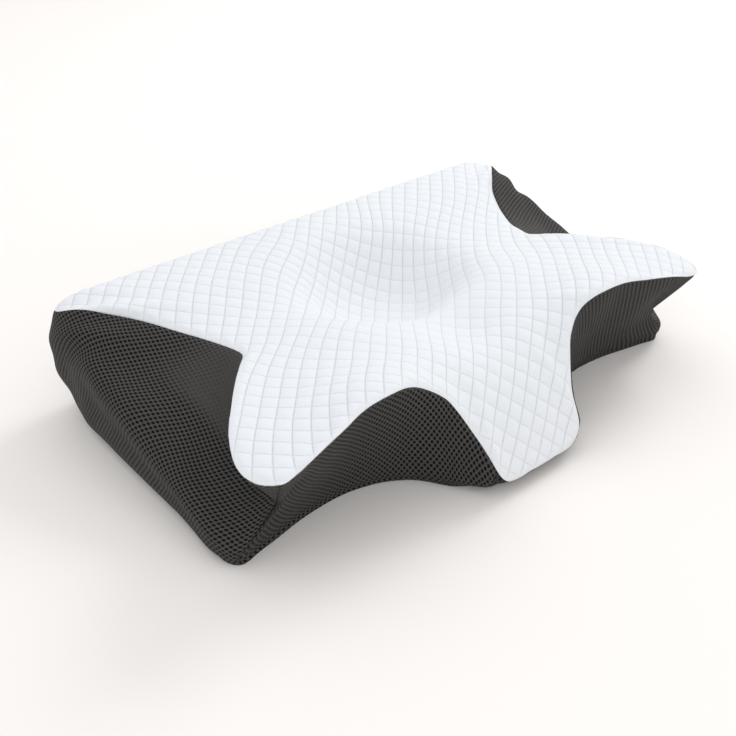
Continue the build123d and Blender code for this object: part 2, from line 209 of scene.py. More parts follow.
def crease_weight(s):
    """How sharply the wall folds under the wing: FOLD there, 0 elsewhere."""
    side = np.minimum(s % ROUND, ROUND - s % ROUND)
    start, full = KNOTS[BACK_SEAM + 6], KNOTS[BACK_SEAM + 9]
    end, gone = KNOTS[MITRE + 1], KNOTS[MITRE + 3]
    return FOLD * ease((side - start) / (full - start)) * (1 - ease((side - end) / (gone - end)))


def climb(s, shares):
    """Points up the wall at distances s, at shares of each column's length, and the lengths."""
    shares = np.broadcast_to(shares, (len(s), np.shape(shares)[-1]))
    levels = levels_at(s)
    chords = np.diff(levels, axis=1)
    length = np.linalg.norm(chords, axis=2, keepdims=True)
    along = unit(chords)
    leave, arrive = along.copy(), along.copy()
    for k in range(1, LEVELS - 1):
        middle = unit(along[:, k - 1] + along[:, k])
        keep = crease_weight(s)[:, None] if k == FOLD_LEVEL else 0.0
        arrive[:, k - 1] = unit(middle * (1 - keep) + along[:, k - 1] * keep)
        leave[:, k] = unit(middle * (1 - keep) + along[:, k] * keep)
    fine = []
    for k in range(LEVELS - 1):
        for t in np.linspace(0, 1, FINE, endpoint=False):
            fine.append((2 * t**3 - 3 * t**2 + 1) * levels[:, k]
                        + (t**3 - 2 * t**2 + t) * leave[:, k] * length[:, k]
                        + (3 * t**2 - 2 * t**3) * levels[:, k + 1]
                        + (t**3 - t**2) * arrive[:, k] * length[:, k])
    fine = np.stack(fine + [levels[:, -1]], axis=1)
    runs = np.linalg.norm(np.diff(fine, axis=1), axis=2)
    up = np.concatenate([np.zeros((len(s), 1)), np.cumsum(runs, axis=1)], axis=1)
    points = np.empty((*shares.shape, 3))
    for i in range(len(s)):
        at = shares[i] * up[i, -1]
        for k in range(3):
            points[i, :, k] = np.interp(at, up[i], fine[i, :, k])
    return points, up[:, -1]


# ---- the seam, and the top that is fitted to it ------------------------------------------------------
SEAM_STEP = 1.6
SEAM_S = np.linspace(0, ROUND, int(ROUND / SEAM_STEP), endpoint=False)
SEAM = levels_at(SEAM_S)[:, -1]


def polar(x, y):
    """Angle and distance from the hub."""
    return np.arctan2(y - HUB[1], x - HUB[0]), np.hypot(x - HUB[0], y - HUB[1])


SEAM_ANGLE, SEAM_REACH = polar(SEAM[:, 0], SEAM[:, 1])
SEAM_RIM = top_height(SEAM[:, 0], SEAM[:, 1]) - SEAM[:, 2]
BY_ANGLE = np.argsort(SEAM_ANGLE)


def round_hub(angle, values):
    """Values known along the seam, at the same angle from the hub."""
    return np.interp(angle, SEAM_ANGLE[BY_ANGLE], values[BY_ANGLE], period=2 * math.pi)


def surface(x, y):
    """Height of the top, fitted to the seam."""
    angle, reach = polar(x, y)
    share = np.minimum(reach / round_hub(angle, SEAM_REACH), 1.06)
    return top_height(x, y) - round_hub(angle, SEAM_RIM) * share**6


def top_normal(x, y):
    """Upward normal of the top."""
    e = 0.5
    dx = (surface(x + e, y) - surface(x - e, y)) / (2 * e)
    dy = (surface(x, y + e) - surface(x, y - e)) / (2 * e)
    return unit(np.stack([-dx, -dy, np.ones_like(dx)], axis=-1))


def wall_normals(points):
    """Outward normals of a grid of wall points."""
    return unit(np.cross(np.gradient(points, axis=1), np.gradient(points, axis=0)))


ROLL = 1.5             # how far the seam is drawn in
ROLL_WIDTH = 2.4


def seam_draw():
    """Which way, and how far, the stitching draws the edge in at each seam point."""
    inner = HUB + (SEAM[:, :2] - HUB) * 0.97
    upper = top_normal(inner[:, 0], inner[:, 1])
    strip, _ = climb(SEAM_S, np.array([0.9, 0.95, 1.0]))
    outer = wall_normals(strip)[:, 2]
    return -unit(upper + outer) * ROLL


SEAM_DRAW = seam_draw()


def drawn(s):
    """The seam's draw at distances s round the pillow."""
    return np.stack([np.interp(s % ROUND, SEAM_S, SEAM_DRAW[:, k], period=ROUND) for k in range(3)], -1)


def slow_waves(x, y, z, size):
    """Gentle unevenness, the same each run, about -1 to 1."""
    a = np.sin(x / size * 6.1 + 1.3 + 1.7 * np.sin(y / size * 2.3))
    b = np.sin(y / size * 5.3 + 0.4 + 1.3 * np.sin(z / size * 3.1))
    c = np.sin((x + y + z) / size * 4.1 + 2.2)
    return (a + b + c) / 3


# ---- objects and materials ---------------------------------------------------------------------------
def new_object(name, points, faces, material, attributes=None):
    """Mesh object in metres, smooth shaded, riding on the root body."""
    mesh = bpy.data.meshes.new(name)
    mesh.from_pydata((np.asarray(points) * MM).tolist(), [], faces)
    mesh.update()
    for key, values in (attributes or {}).items():
        layer = mesh.attributes.new(key, "FLOAT_VECTOR", "POINT")
        layer.data.foreach_set("vector", np.asarray(values, np.float32).ravel())
    mesh.shade_smooth()
    mesh.materials.append(material)
    piece = bpy.data.objects.new(name, mesh)
    bpy.context.scene.collection.objects.link(piece)
    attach(piece, "root")
    return piece


def thicken(piece, thickness, share=None):
    """Gives a skin its cloth's thickness, inwards; share thins it at each point, as towards a seam."""
    solid = piece.modifiers.new("cloth", "SOLIDIFY")
    solid.thickness = thickness * MM
    solid.offset = -1
    solid.use_even_offset = False
    if share is not None:
        group = piece.vertex_groups.new(name="cloth")
        steps = np.round(np.clip(share, 0, 1) * 10).astype(int)
        for step in range(11):
            group.add(np.flatnonzero(steps == step).tolist(), step / 10, "REPLACE")
        solid.vertex_group = "cloth"
        solid.thickness_vertex_group = 0.1


class Nodes:
    """Small helper that adds shader nodes and joins them."""

    def __init__(self, name, **inputs):
        self.material = bpy.data.materials.new(name)
        self.material.use_nodes = True
        self.tree = self.material.node_tree
        self.shader = self.tree.nodes["Principled BSDF"]
        for key, value in inputs.items():
            self.shader.inputs[key.replace("_", " ")].default_value = value

    def put(self, socket, value):
        """Sets a socket, or links another node's output to it."""
        if isinstance(value, bpy.types.NodeSocket):
            self.tree.links.new(value, socket)
        else:
            socket.default_value = value

    def add(self, kind, *values, **settings):
        """A node of that kind with its inputs, in order; returns its first output."""
        node = self.tree.nodes.new(kind)
        for key, value in settings.items():
            setattr(node, key, value)
        for socket, value in zip(node.inputs, values):
            if value is not None:
                self.put(socket, value)
        return node.outputs[0]

    def math(self, operation, *values, clamp=False):
        return self.add("ShaderNodeMath", *values, operation=operation, use_clamp=clamp)

    def attribute(self, name):
        """Three parts of a stored vector."""
        node = self.tree.nodes.new("ShaderNodeAttribute")
        node.attribute_name = name
        split = self.tree.nodes.new("ShaderNodeSeparateXYZ")
        self.tree.links.new(node.outputs["Vector"], split.inputs[0])
        return split.outputs

    def place(self, scale):
        """Object coordinates, scaled."""
        node = self.tree.nodes.new("ShaderNodeTexCoord")
        return self.add("ShaderNodeVectorMath", node.outputs["Object"], (scale,) * 3, operation="MULTIPLY")

    def noise(self, scale, detail=2.0, vector=None):
        """Noise from 0 to 1, with that many features to the metre."""
        node = self.tree.nodes.new("ShaderNodeTexNoise")
        self.tree.links.new(vector or self.place(1.0), node.inputs["Vector"])
        node.inputs["Scale"].default_value = scale
        node.inputs["Detail"].default_value = detail
        return node.outputs["Fac"]

    def ramp(self, value, *stops):
        """Colour ramp through (position, colour) stops."""
        node = self.tree.nodes.new("ShaderNodeValToRGB")
        self.tree.links.new(value, node.inputs[0])
        while len(node.color_ramp.elements) < len(stops):
            node.color_ramp.elements.new(0.5)
        for element, (position, colour) in zip(node.color_ramp.elements, stops):
            element.position = position
            element.color = (*colour, 1)
        return node.outputs["Color"]

    def mix(self, share, a, b):
        """Colour a turning to colour b."""
        node = self.tree.nodes.new("ShaderNodeMix")
        node.data_type = "RGBA"
        for key, value in ((0, share), (6, a), (7, b)):
            self.put(node.inputs[key], value)
        return node.outputs[2]

    def bump(self, height, distance, strength=1.0, under=None):
        """Bump from a height, on top of another bump."""
        node = self.tree.nodes.new("ShaderNodeBump")
        node.inputs["Strength"].default_value = strength
        node.inputs["Distance"].default_value = distance
        self.tree.links.new(height, node.inputs["Height"])
        if under:
            self.tree.links.new(under, node.inputs["Normal"])
        return node.outputs["Normal"]

    def finish(self, colour=None, roughness=None, normal=None):
        """Links what was made to the shader."""
        for key, value in (("Base Color", colour), ("Roughness", roughness), ("Normal", normal)):
            if value is not None:
                self.put(self.shader.inputs[key], value)
        return self.material


def grey(v):
    """Neutral colour."""
    return (v, v, v, 1)


def quilted_knit():
    """White knit, puffed between the quilting lines, with painted shade in the grooves."""
    n = Nodes("quilted_knit_look", Roughness=0.82, Sheen_Weight=0.25, Sheen_Roughness=0.45)
    p, q, puff = n.attribute("quilt")
    u, v, _ = n.attribute("cloth")
    lines = []
    for phase in (p, q):
        wave = n.math("SINE", n.math("MULTIPLY", phase, math.pi))
        lines.append(n.math("SMOOTH_MIN", n.math("MULTIPLY", n.math("ABSOLUTE", wave), 6.0), 1.0, 0.3))
    weaker = n.math("MULTIPLY_ADD", lines[1], 0.65, 0.35)
    groove = n.math("MULTIPLY", lines[0], weaker, clamp=True)
    ribs = n.math("SINE", n.math("MULTIPLY", n.math("ADD", u, v), 5200.0))
    cross = n.math("SINE", n.math("MULTIPLY", n.math("SUBTRACT", u, v), 5200.0))
    loops = n.math("MULTIPLY", ribs, cross)
    mottle = n.noise(420.0, 3.0)
    # Painted shade: the quilting grooves are coloured darker and bluer than the puffs; the mottle is random
    # tone.
    shade = n.math("ADD", n.math("MULTIPLY", groove, 0.75), n.math("MULTIPLY", mottle, 0.25))
    colour = n.ramp(shade, (0.0, (0.66, 0.7, 0.75)), (0.5, (0.74, 0.775, 0.82)), (1.0, (0.795, 0.83, 0.87)))
    fine = n.bump(loops, 0.00012, 0.5)
    fuzz = n.bump(mottle, 0.0003, 0.25, fine)
    rounded = n.bump(n.math("MULTIPLY", groove, puff), 0.0007, 0.7, fuzz)
    return n.finish(colour, n.math("ADD", n.math("MULTIPLY", mottle, 0.12), 0.76), rounded)


def air_mesh(name, thread, hole_shade, open_at=0.1):
    """Black spacer mesh: rows of holes in a knitted net, the holes painted near black as shade and the
    thread rows given a painted highlight.
    """
    n = Nodes(name, Roughness=0.7, Specular_IOR_Level=0.12, Sheen_Weight=0.02)
    first, second, plain = n.attribute("net")
    waves = [n.math("COSINE", n.math("MULTIPLY", phase, 2 * math.pi)) for phase in (first, second)]
    depth = n.math("SUBTRACT", n.math("ADD", waves[0], waves[1]), open_at)
    mask = n.math("MULTIPLY", depth, 2.4, clamp=True)
    mask = n.math("MULTIPLY", mask, n.math("SUBTRACT", 1.0, plain, clamp=True))
    # Painted highlight: fine stripes along the thread rows are coloured lighter and warmer, mixed with
    # random mottle.
    rib_highlight = n.math("SINE", n.math("MULTIPLY", n.math("ADD", first, n.math("MULTIPLY", second, 0.35)), 31.0))
    mottle = n.noise(900.0, 3.0)
    highlight_and_mottle = n.math("ADD", n.math("MULTIPLY", rib_highlight, 0.18), mottle)
    threads = n.mix(highlight_and_mottle, grey(thread * 0.55), (thread * 1.35, thread * 1.3, thread * 1.2, 1))
    # Painted shade: the holes are coloured near black, as the shade inside them.
    colour = n.mix(mask, threads, grey(hole_shade))
    height = n.math("ADD", n.math("SUBTRACT", 1.0, mask), n.math("MULTIPLY", highlight_and_mottle, 0.15))
    return n.finish(colour, n.math("ADD", n.math("MULTIPLY", mottle, 0.2), 0.6), n.bump(height, 0.0008, 0.9))


def fine_knit(name, colour, dark, pitch=1200.0, roughness=0.85):
    """Plain fine knit in the object's own coordinates."""
    n = Nodes(name, Roughness=roughness, Sheen_Weight=0.15)
    place = n.place(pitch)
    x, y, z = n.add("ShaderNodeSeparateXYZ", place).node.outputs
    a = n.math("SINE", n.math("ADD", x, z))
    b = n.math("SINE", n.math("ADD", y, z))
    loops = n.math("MULTIPLY", a, b)
    mottle = n.noise(300.0, 3.0)
    shade = n.math("ADD", n.math("MULTIPLY", loops, 0.25), mottle)
    return n.finish(n.mix(shade, dark, colour), None, n.bump(loops, 0.00025, 0.7))


def memory_foam():
    """Open-cell foam, its pores painted darker as shade."""
    n = Nodes("memory_foam_look", Roughness=0.95)
    cells = n.tree.nodes.new("ShaderNodeTexVoronoi")
    cells.inputs["Scale"].default_value = 900.0
    n.tree.links.new(n.place(1.0), cells.inputs["Vector"])
    pores = cells.outputs["Distance"]
    # Painted shade: the pores are coloured darker and browner than the cell walls.
    colour = n.ramp(pores, (0.0, (0.55, 0.5, 0.38)), (0.5, (0.86, 0.82, 0.7)))
    return n.finish(colour, None, n.bump(pores, 0.0004, 0.8))


def woven_tape():
    """Herringbone zipper tape."""
    n = Nodes("zipper_tape_look", Roughness=0.75, Sheen_Weight=0.1)
    x, _, z = n.add("ShaderNodeSeparateXYZ", n.place(1.0)).node.outputs
    zigzag = n.math("PINGPONG", z, 0.0012)
    slant = n.math("SINE", n.math("MULTIPLY", n.math("ADD", x, zigzag), 7000.0))
    mottle = n.noise(700.0, 2.0)
    shade = n.math("ADD", n.math("MULTIPLY", slant, 0.3), mottle)
    colour = n.mix(shade, grey(0.006), grey(0.028))
    return n.finish(colour, None, n.bump(slant, 0.0002, 0.7))


def nylon():
    """Zipper coil monofilament."""
    n = Nodes("zipper_coil_look", Roughness=0.35, Coat_Weight=0.2)
    mottle = n.noise(1500.0, 2.0)
    colour = n.mix(mottle, grey(0.012), grey(0.03))
    rough = n.math("ADD", n.math("MULTIPLY", mottle, 0.2), 0.28)
    return n.finish(colour, rough, n.bump(mottle, 0.00005, 0.4))


def zipper_metal():
    """Black-nickel plate, a little worn."""
    n = Nodes("zipper_metal_look", Metallic=1.0, Roughness=0.32)
    worn = n.noise(650.0, 4.0)
    streaks = n.noise(1800.0, 2.0)
    colour = n.mix(worn, (0.16, 0.16, 0.17, 1), (0.42, 0.42, 0.43, 1))
    rough = n.math("ADD", n.math("MULTIPLY", streaks, 0.25), 0.2)
    return n.finish(colour, rough, n.bump(streaks, 0.00004, 0.5))


def label_ribbon():
    """White satin ribbon."""
    n = Nodes("label_look", Roughness=0.5, Sheen_Weight=0.2)
    x, _, z = n.add("ShaderNodeSeparateXYZ", n.place(1.0)).node.outputs
    warp = n.math("SINE", n.math("MULTIPLY", x, 11000.0))
    weft = n.math("SINE", n.math("MULTIPLY", z, 9000.0))
    weave = n.math("MULTIPLY", warp, weft)
    colour = n.mix(n.math("MULTIPLY_ADD", weave, 0.3, n.noise(500.0)), grey(0.72), grey(0.88))
    return n.finish(colour, None, n.bump(weave, 0.0001, 0.5))


# ---- quilted top -------------------------------------------------------------------------------------
TOP_STEP = 1.6
QUILT_ANGLES = (math.radians(-42), math.radians(43))
QUILT_PERIODS = (14.4, 15.0)
QUILT_HEIGHT = 1.7
QUILT_THICK = 1.6
MESH_THICK = 2.0
BOTTOM_THICK = 1.5
THIN_BAND = 12.0       # cloth thins towards its seam across this width
EDGE_CLEAR = 0.62      # free band inside the seam, in steps


MAP_STEP = 2.0


def surface_maps():
    """Lengths over the surface: along y at each x, and along x at each y."""
    xs = np.arange(-304.0, 304.1, MAP_STEP)
    ys = np.arange(-204.0, 204.1, MAP_STEP)
    gx, gy = np.meshgrid(xs, ys, indexing="ij")
    z = surface(gx, gy)
    over_y = np.sqrt(1 + np.gradient(z, ys, axis=1) ** 2)
    over_x = np.sqrt(1 + np.gradient(z, xs, axis=0) ** 2)
    v = np.cumsum(over_y, axis=1) * MAP_STEP
    u = np.cumsum(over_x, axis=0) * MAP_STEP
    start_y = np.searchsorted(ys, HUB[1])
    v -= v[:, start_y:start_y + 1]
    u -= u[len(xs) // 2][None, :]
    return xs, ys, u, v


MAP_X, MAP_Y, MAP_U, MAP_V = surface_maps()


def looked_up(table, x, y):
    """Table value at each point, between its four nearest entries."""
    fx = np.clip((x - MAP_X[0]) / MAP_STEP, 0, len(MAP_X) - 1.001)
    fy = np.clip((y - MAP_Y[0]) / MAP_STEP, 0, len(MAP_Y) - 1.001)
    i, j = fx.astype(int), fy.astype(int)
    a, b = fx - i, fy - j
    return ((1 - a) * (1 - b) * table[i, j] + a * (1 - b) * table[i + 1, j]
            + (1 - a) * b * table[i, j + 1] + a * b * table[i + 1, j + 1])


def top_points():
    """Plan points spread evenly over the surface inside the seam, and the triangles that join them."""
    seam_v = looked_up(MAP_V, SEAM[:, 0], SEAM[:, 1])
    rows = np.arange(MAP_V.min(), MAP_V.max(), TOP_STEP)
    columns = np.arange(-300, 300, TOP_STEP)
    inside = []
    for k, x in enumerate(columns):
        line = looked_up(MAP_V, np.full(len(MAP_Y), x), MAP_Y)
        v = rows + (TOP_STEP / 2 if k % 2 else 0)
        y = np.interp(v, line, MAP_Y)
        angle, reach = polar(x, y)
        keep = (reach < round_hub(angle, SEAM_REACH)) & (v > line[0]) & (v < line[-1])
        inside.append(np.stack([np.full(keep.sum(), x), v[keep], y[keep]], 1))
    inside = np.concatenate(inside)
    tree = KDTree(len(SEAM))
    for k, (x, v) in enumerate(zip(SEAM[:, 0], seam_v)):
        tree.insert((x, v, 0), k)
    tree.balance()
    far = [tree.find((x, v, 0))[2] > EDGE_CLEAR * TOP_STEP for x, v, _ in inside]
    inside = inside[np.array(far)]
    flat = [Vector(p) for p in zip(SEAM[:, 0], seam_v)] + [Vector((x, v)) for x, v, _ in inside]
    border = [list(range(len(SEAM)))]
    found = delaunay_2d_cdt(flat, [], border, 1, 1e-6)
    x = np.concatenate([SEAM[:, 0], inside[:, 0]])
    y = np.concatenate([SEAM[:, 1], inside[:, 2]])
    source = [o[0] for o in found[3]]
    return x[source], y[source], [tuple(f) for f in found[2]]


def quilt_fade(x, y):
    """How puffed the quilting is: least where the cloth is stretched over the bowl and neck."""
    return 1 - 0.62 * bump(x, y, -5, -25, 105, 75)


def quilted_top():
    """The quilted panel."""
    x, y, faces = top_points()
    z = surface(x, y)
    u, v = looked_up(MAP_U, x, y), looked_up(MAP_V, x, y)
    phases = [(u * math.cos(a) + v * math.sin(a)) / c for a, c in zip(QUILT_ANGLES, QUILT_PERIODS)]
    phases[0] = phases[0] + 0.06 * np.sin(u / 37) + 0.05 * np.sin(v / 29)
    phases[1] = phases[1] + 0.06 * np.sin(v / 41 + 1) + 0.05 * np.sin(u / 33 + 2)
    p, q = (np.abs(np.sin(math.pi * t)) for t in phases)
    puff = p**0.55 * (0.3 + 0.7 * q**0.55)
    tree = KDTree(len(SEAM))
    for k, point in enumerate(SEAM):
        tree.insert(point, k)
    tree.balance()
    near = [tree.find((a, b, c)) for a, b, c in zip(x, y, z)]
    edge = np.array([f[2] for f in near])
    nearest = np.array([f[1] for f in near])
    fade = quilt_fade(x, y)
    height = QUILT_HEIGHT * puff * fade * ease((edge - 1.5) / 7)
    height += 0.35 * np.sin(SEAM_S[nearest] / 5.6) * np.exp(-(edge - 4) ** 2 / 20)
    height += 0.5 * slow_waves(x, y, z, 160) * ease(edge / 25)
    points = np.stack([x, y, z], 1) + top_normal(x, y) * height[:, None]
    points += SEAM_DRAW[nearest] * np.exp(-(edge / ROLL_WIDTH) ** 2)[:, None]
    shown = fade * ease((edge - 1.5) / 7)
    attributes = {
        "quilt": np.stack([phases[0], phases[1], shown], 1),
        "cloth": np.stack([u * MM, v * MM, z * MM], 1),
    }
    piece = new_object("quilted_top", points, faces, quilted_knit(), attributes)
    thicken(piece, QUILT_THICK, ease(edge / THIN_BAND))
    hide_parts("quilted_top_panel")
    return piece


# ---- mesh walls --------------------------------------------------------------------------------------
WALL_STEP = 2.5
END_SHARES = (0.006, 0.014, 0.025, 0.04)
SLACK = 0.7            # slow unevenness of the walls, and the size of its waves
SLACK_SIZE = 120
END_SEAM = (1.3, 2.6)  # depth and width of the furrows: upright seams, base seam, zipper slot
BASE_SEAM = (0.9, 2.2)
SLOT_SEAM = (1.6, 2.0)
BASE_STITCH = 5.0      # how far up the wall the base seam is
SIDE_NET = ((3.5, 26), (4.6, -54))         # period in mm and direction in degrees, from straight up
FRONT_NET = ((4.0, 47), (4.8, -66))


def wall_shares(low=0.0):
    """Shares up a wall column: even, and closer together by its two edges."""
    even = np.arange(0.04, 0.96, WALL_STEP / 130)
    both = np.concatenate([[0], END_SHARES, even[1:], 1 - np.array(END_SHARES[::-1]), [1]])
    return low + (1 - low) * both


def grid_faces(across, up):
    """Quads of a grid of points, listed column by column, facing out."""
    i, j = np.meshgrid(np.arange(across - 1), np.arange(up - 1), indexing="ij")
    a = (i * up + j).ravel()
    return np.stack([a, a + 1, a + up + 1, a + up], 1).tolist()


def net_phases(along, up, net, plain):
    """Phases of the two rows of holes, and how far the holes close up."""
    phases = []
    for period, angle in net:
        a = math.radians(angle)
        phases.append((up * math.cos(a) + along * math.sin(a)) / period)
    return np.stack([*phases, plain], -1)


def groove(distance, depth, width):
    """Furrow along a line, seen as how far the surface moves out."""
    return -depth * np.exp(-(distance / width) ** 2)


def wall_grid(start, end, net, closing, low=None, high=None):
    """The wall between two distances round the pillow, from the sole or a height low up to the seam
    or a height high: points, net phases, and how near each point is to an edge."""
    s = np.linspace(start, end, int((end - start) / WALL_STEP) + 2)
    base = wall_shares()[None, :]
    bottom = share_at(s, low) if low else np.zeros((len(s), 1))
    top = share_at(s, high) if high else np.ones((len(s), 1))
    shares = bottom + (top - bottom) * base
    points, length = climb(s, shares)
    normals = wall_normals(points)
    up = shares * length[:, None]
    toward_nose = np.where(s > ROUND / 2, ROUND - s, s)[:, None] + 0 * up
    from_top = length[:, None] - up
    ends = np.minimum(s - s[0], s[-1] - s)[:, None] + 0 * up
    slack = slow_waves(*(points[..., k] for k in range(3)), SLACK_SIZE)
    relief = SLACK * slack * ease(np.minimum(up, from_top) / 25)
    relief = relief + groove(ends, *END_SEAM) + groove(up - BASE_STITCH, *BASE_SEAM)
    if low:
        relief = relief + groove(up - up[:, :1], *SLOT_SEAM)
    if high:
        relief = relief + groove(up[:, -1:] - up, *SLOT_SEAM)
    points = points + normals * (relief * ease(up / 4) * ease(from_top / 3))[..., None]
    points = points + drawn(s)[:, None, :] * np.exp(-(from_top / ROLL_WIDTH) ** 2)[..., None]
    points[..., 2] = np.maximum(points[..., 2], 0.0)
    plain = closing(s, shares, points)
    return points, net_phases(toward_nose, up, net, plain), np.minimum(from_top, up + 4)


def share_at(s, height):
    """Share of each column's length at which it reaches a height, given for each distance round."""
    shares = np.linspace(0, 1, 80)
    upright = 32           # a step that is above the rounded foot
    points, _ = climb(s, shares)
    wanted = height(points[:, upright, 0])
    return np.array([[np.interp(h, column[:, 2], shares)] for h, column in zip(wanted, points)])


def stretched_strip(s, shares, points):
    """The net closes up on the steep strip between the wing's crease and its seam."""
    under_wing = crease_weight(s)[:, None]
    high = ease((points[..., 2] - 52) / 12)
    inset = ease((262 - np.abs(points[..., 0])) / 25) * ease((shares - 0.62) / 0.1)
    return 0.95 * under_wing * high * inset


def even_net(s, shares, points):
    """Holes right across, closing only in the seam."""
    return 0.7 * (shares > 0.985)


def wall_piece(name, node, start, end, net, closing, low=None, high=None):
    """One mesh panel of the wall, a sheet of cloth sewn in along its edges."""
    points, phases, edge = wall_grid(start, end, net, closing, low, high)
    across, up = points.shape[:2]
    piece = new_object(name, points.reshape(-1, 3), grid_faces(across, up), WALL_LOOK,
                       {"net": phases.reshape(-1, 3)})
    thicken(piece, MESH_THICK, ease(edge.ravel() / THIN_BAND))
    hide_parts(node)
    return piece


# Zipper in the back wall, as in the CAD
ZIP_Z = 52.0
ZIP_HALF = 220.0
SLOT_HALF = 13.0
SLOT_END = 4.0         # length over which the slot closes at each end
TAPE_TUCK = 3.0        # how far the tapes run on under the walls
TAPE_Y = 194.2
COIL_Y = 196.0
COIL_ROW = 1.45        # from the zipper's middle to the middle of a coil row
COIL_END = 216.7


def slot_edge(side):
    """Height of the upper (1) or lower (-1) edge of the zipper slot at each x."""
    return lambda x: ZIP_Z + side * SLOT_HALF * (1 - ease((np.abs(x) - ZIP_HALF + SLOT_END) / SLOT_END))


# Thread colour, then the near-black painted shade in the holes.
WALL_LOOK = air_mesh("air_mesh_look", 0.068, 0.0008)
RIGHT = KNOTS[BACK_SEAM], KNOTS[MITRE], KNOTS[NOSE]
LEFT = ROUND - KNOTS[NOSE], ROUND - KNOTS[MITRE], ROUND - KNOTS[BACK_SEAM]
BACK = KNOTS[BACK_SEAM]
SIDE_SHEET = dict(flat=(0.36, 0.17), area=0.057)
FRONT_SHEET = dict(flat=(0.26, 0.135), area=0.0255)
PANELS = [
    ("right_side_wall", "right_side_mesh", *RIGHT[:2], SIDE_NET, stretched_strip, None, None, SIDE_SHEET),
    ("front_right_wall", "front_right_mesh", *RIGHT[1:], FRONT_NET, even_net, None, None, FRONT_SHEET),
    ("front_left_wall", "front_left_mesh", *LEFT[:2], FRONT_NET, even_net, None, None, FRONT_SHEET),
    ("left_side_wall", "left_side_mesh", *LEFT[1:], SIDE_NET, stretched_strip, None, None, SIDE_SHEET),
    ("back_wall_upper", "back_mesh_upper", -BACK, BACK, SIDE_NET, even_net, slot_edge(1), None,
     dict(flat=(0.52, 0.065), area=0.027)),
    ("back_wall_lower", "back_mesh_lower", -BACK, BACK, SIDE_NET, even_net, None, slot_edge(-1),
     dict(flat=(0.52, 0.055), area=0.0245)),
]
quilted_top()
for name, node, start, end, net, closing, low, high, cut in PANELS:
    wall = wall_piece(name, node, start, end, net, closing, low, high)


# ---- bottom ------------------------------------------------------------------------------------------
def bottom_sheet():
    """Mesh bottom, flat on what the pillow rests on and turned up at the nose."""
    s = np.linspace(0, ROUND, int(ROUND / 5), endpoint=False)
    edge = levels_at(s)[:, 0]
    tree = KDTree(len(edge))
    for k, point in enumerate(edge):
        tree.insert((point[0], point[1], 0), k)
    tree.balance()
    gx, gy = np.meshgrid(np.arange(-300, 300, 7.0), np.arange(-200, 200, 7.0))
    spots = [(x, y) for x, y in zip(gx.ravel(), gy.ravel()) if tree.find((x, y, 0))[2] > 4]
    flat = [Vector(p[:2]) for p in edge] + [Vector(p) for p in spots]
    found = delaunay_2d_cdt(flat, [], [list(range(len(edge)))], 1, 1e-6)
    plan = np.array([tuple(v) for v in found[0]])
    off = np.array([tree.find((x, y, 0))[2] for x, y in plan])
    lift = 0.25 * (1 + slow_waves(plan[:, 0], plan[:, 1], 0, 90)) * ease(off / 12)
    points = np.column_stack([plan, lift])
    faces = [tuple(reversed(f)) for f in found[2]]
    lip_s = np.linspace(KNOTS[NOSE], ROUND - KNOTS[NOSE], 60)
    lip, _ = climb(lip_s, np.linspace(0, 1, 5))
    lip = lip + drawn(lip_s)[:, None, :] * np.linspace(0, 1, 5)[None, :, None] ** 2
    lip[..., 2] = np.maximum(lip[..., 2], 0)
    start = len(points)
    faces += [tuple(start + i for i in f) for f in grid_faces(60, 5)]
    points = np.concatenate([points, lip.reshape(-1, 3)])
    turned = [(points[:, 0] * a + points[:, 1] * b) / 3.9 for a, b in ((0.8, 0.6), (-0.6, 0.8))]
    net = np.stack([*turned, np.zeros(len(points))], 1)
    # Thread colour, then the near-black painted shade in the holes.
    look = air_mesh("bottom_mesh_look", 0.035, 0.003)
    piece = new_object("bottom_sheet", points, faces, look, {"net": net})
    thicken(piece, BOTTOM_THICK)
    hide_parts("bottom_panel")


bottom_sheet()


# ---- zipper, stitching and label ---------------------------------------------------------------------
def tube(path, radius, sides=6):
    """Points and quads of a round tube along a path, with closed ends."""
    path = np.asarray(path, float)
    along = unit(np.gradient(path, axis=0))
    guide = np.where(np.abs(along[:, :1]) < 0.9, [[1.0, 0, 0]], [[0, 0, 1.0]])
    side = unit(np.cross(along, guide))
    up = np.cross(along, side)
    turn = np.arange(sides) * 2 * math.pi / sides
    ring = side[:, None] * np.cos(turn)[None, :, None] + up[:, None] * np.sin(turn)[None, :, None]
    points = (path[:, None] + ring * radius).reshape(-1, 3)
    faces = []
    for i in range(len(path) - 1):
        for j in range(sides):
            k = (j + 1) % sides
            faces.append((i * sides + j, i * sides + k, (i + 1) * sides + k, (i + 1) * sides + j))
    faces.append(tuple(reversed(range(sides))))
    faces.append(tuple((len(path) - 1) * sides + j for j in range(sides)))
    return points, faces


def joined(parts):
    """Several (points, faces) as one."""
    points, faces, start = [], [], 0
    for p, f in parts:
        points.append(p)
        faces += [tuple(start + i for i in face) for face in f]
        start += len(p)
    return np.concatenate(points), faces


COIL_PITCH = 1.4


def coil_row(name, side, look):
    """One row of the zipper: a flattened coil of monofilament."""
    per_turn = 9
    turns = int(2 * (COIL_END - 0.5) / COIL_PITCH)
    turn = np.arange(turns * per_turn + 1) / per_turn
    angle = 2 * math.pi * turn + (math.pi if side < 0 else 0)
    x = -COIL_END + 0.5 + turn * COIL_PITCH
    path = np.stack([x, COIL_Y + 0.62 * np.cos(angle), ZIP_Z + side * COIL_ROW + 0.93 * np.sin(angle)], 1)
    points, faces = tube(path, 0.33, 5)
    piece = new_object(f"coil_{name}", points, faces, look)
    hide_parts(f"zipper_coil_{name}")


